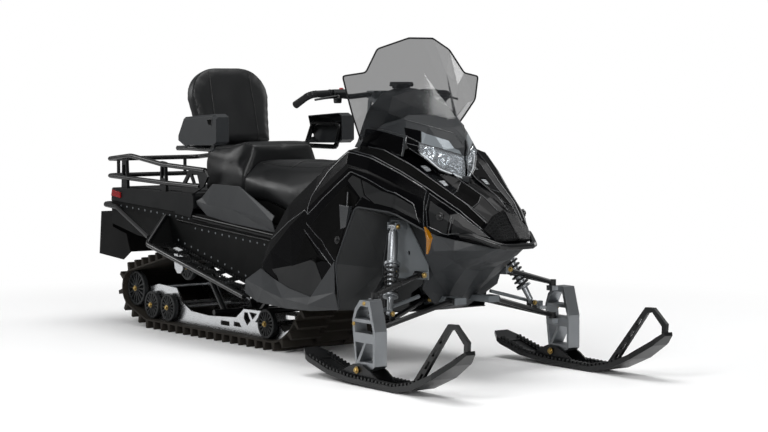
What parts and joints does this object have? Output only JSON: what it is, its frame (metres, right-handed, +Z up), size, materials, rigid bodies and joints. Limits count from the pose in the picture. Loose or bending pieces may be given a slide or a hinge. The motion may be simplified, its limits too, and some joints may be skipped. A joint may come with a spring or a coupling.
{
  "type": "snowmobile",
  "caption": "Two-seat utility snowmobile: faceted body and windshield, wide rubber track on a slide-rail frame, steered skis on double arms, cargo deck with tube rack, raised passenger seat with backrest.",
  "frame": {"origin": "on the floor under the middle of the overall outline", "axes": "+X forward, towards the ski tips; +Y to the rider's left; +Z up"},
  "size_m": [3.464, 1.165, 1.436],
  "materials": {
    "track_rubber": "matte moulded rubber",
    "black_plastic": "fine grained",
    "grey_plastic": "fine grained",
    "gloss_body": "glossy",
    "black_tube": "powder coated",
    "bright_aluminium": "brushed",
    "cast_aluminium": "fine cast",
    "grey_steel": "satin painted",
    "ski_plastic": "slightly waxy",
    "seat_vinyl": "grained vinyl",
    "smoked_screen": "smoked, polished",
    "lamp_lens": "clear, polished",
    "red_lens": "translucent red",
    "engine_metal": "rough"
  },
  "bodies": {
    "chassis": {"track": "track_rubber", "idler_wheels": "black_plastic", "slide_rails": "bright_aluminium", "torque_arms": "black_tube", "skid_shock": "black_tube", "arm_hangers": "bright_aluminium", "drive_axle": "black_plastic", "tunnel": "black_tube", "running_boards": "black_tube", "rear_bumper": "black_tube", "snow_flap": "black_plastic", "side_panel_left": "gloss_body", "side_panel_right": "gloss_body", "foot_guards": "grey_plastic", "belly_pan": "black_plastic", "prow": "black_plastic", "nose_sides": "gloss_body", "hood": "gloss_body", "nose": "gloss_body", "pod": "grey_plastic", "headlamps": "lamp_lens", "windshield": "smoked_screen", "console": "grey_plastic", "steering_frame": "black_tube", "engine_block": "engine_metal", "bulkhead": "grey_steel", "shock_towers": "grey_steel", "upper_arms": "black_tube", "lower_arms": "black_tube", "front_shocks": "bright_aluminium", "front_bumper": "black_tube", "cargo_deck": "grey_plastic", "tail_lamps": "red_lens", "cargo_rack": "black_tube", "side_covers": "grey_plastic", "seat_base": "black_plastic", "driver_seat": "seat_vinyl", "passenger_seat": "seat_vinyl", "backrest": "seat_vinyl", "backrest_frame": "black_tube", "passenger_handle_left": "grey_plastic", "passenger_handle_right": "grey_plastic"},
    "steering": {"handlebar": "black_tube", "riser": "cast_aluminium"},
    "ski_left": {"spindle_left": "cast_aluminium", "ski_left": "ski_plastic"},
    "ski_right": {"spindle_right": "cast_aluminium", "ski_right": "ski_plastic"},
    "tie_rod_left": {"tie_rod_left": "grey_steel"},
    "tie_rod_right": {"tie_rod_right": "grey_steel"}
  },
  "joints": [
    {"name": "handlebar_steer", "type": "hinge", "parent": "chassis", "child": "steering", "pos_m": [0.402, 0, 1.04], "axis": [-0.309, 0, 0.9511], "range_deg": [-32, 32]},
    {"name": "ski_steer_left", "type": "hinge", "parent": "chassis", "child": "ski_left", "pos_m": [1.042, 0.48, 0.28], "axis": [0, 0, 1], "range_deg": [-29, 29]},
    {"name": "ski_steer_right", "type": "hinge", "parent": "chassis", "child": "ski_right", "pos_m": [1.042, -0.48, 0.28], "axis": [0, 0, 1], "range_deg": [-29, 29]},
    {"name": "tie_rod_slide_left", "type": "slide", "parent": "chassis", "child": "tie_rod_left", "axis": [0, 1, 0], "range_m": [-0.038, 0.038]},
    {"name": "tie_rod_slide_right", "type": "slide", "parent": "chassis", "child": "tie_rod_right", "axis": [0, 1, 0], "range_m": [-0.038, 0.038]}
  ],
  "couplings": [
    {"joint": "ski_steer_left", "follows": "handlebar_steer", "ratio": 0.9},
    {"joint": "ski_steer_right", "follows": "handlebar_steer", "ratio": 0.9},
    {"joint": "tie_rod_slide_left", "follows": "handlebar_steer", "m_per_rad": -0.0673},
    {"joint": "tie_rod_slide_right", "follows": "handlebar_steer", "m_per_rad": -0.0673}
  ]
}
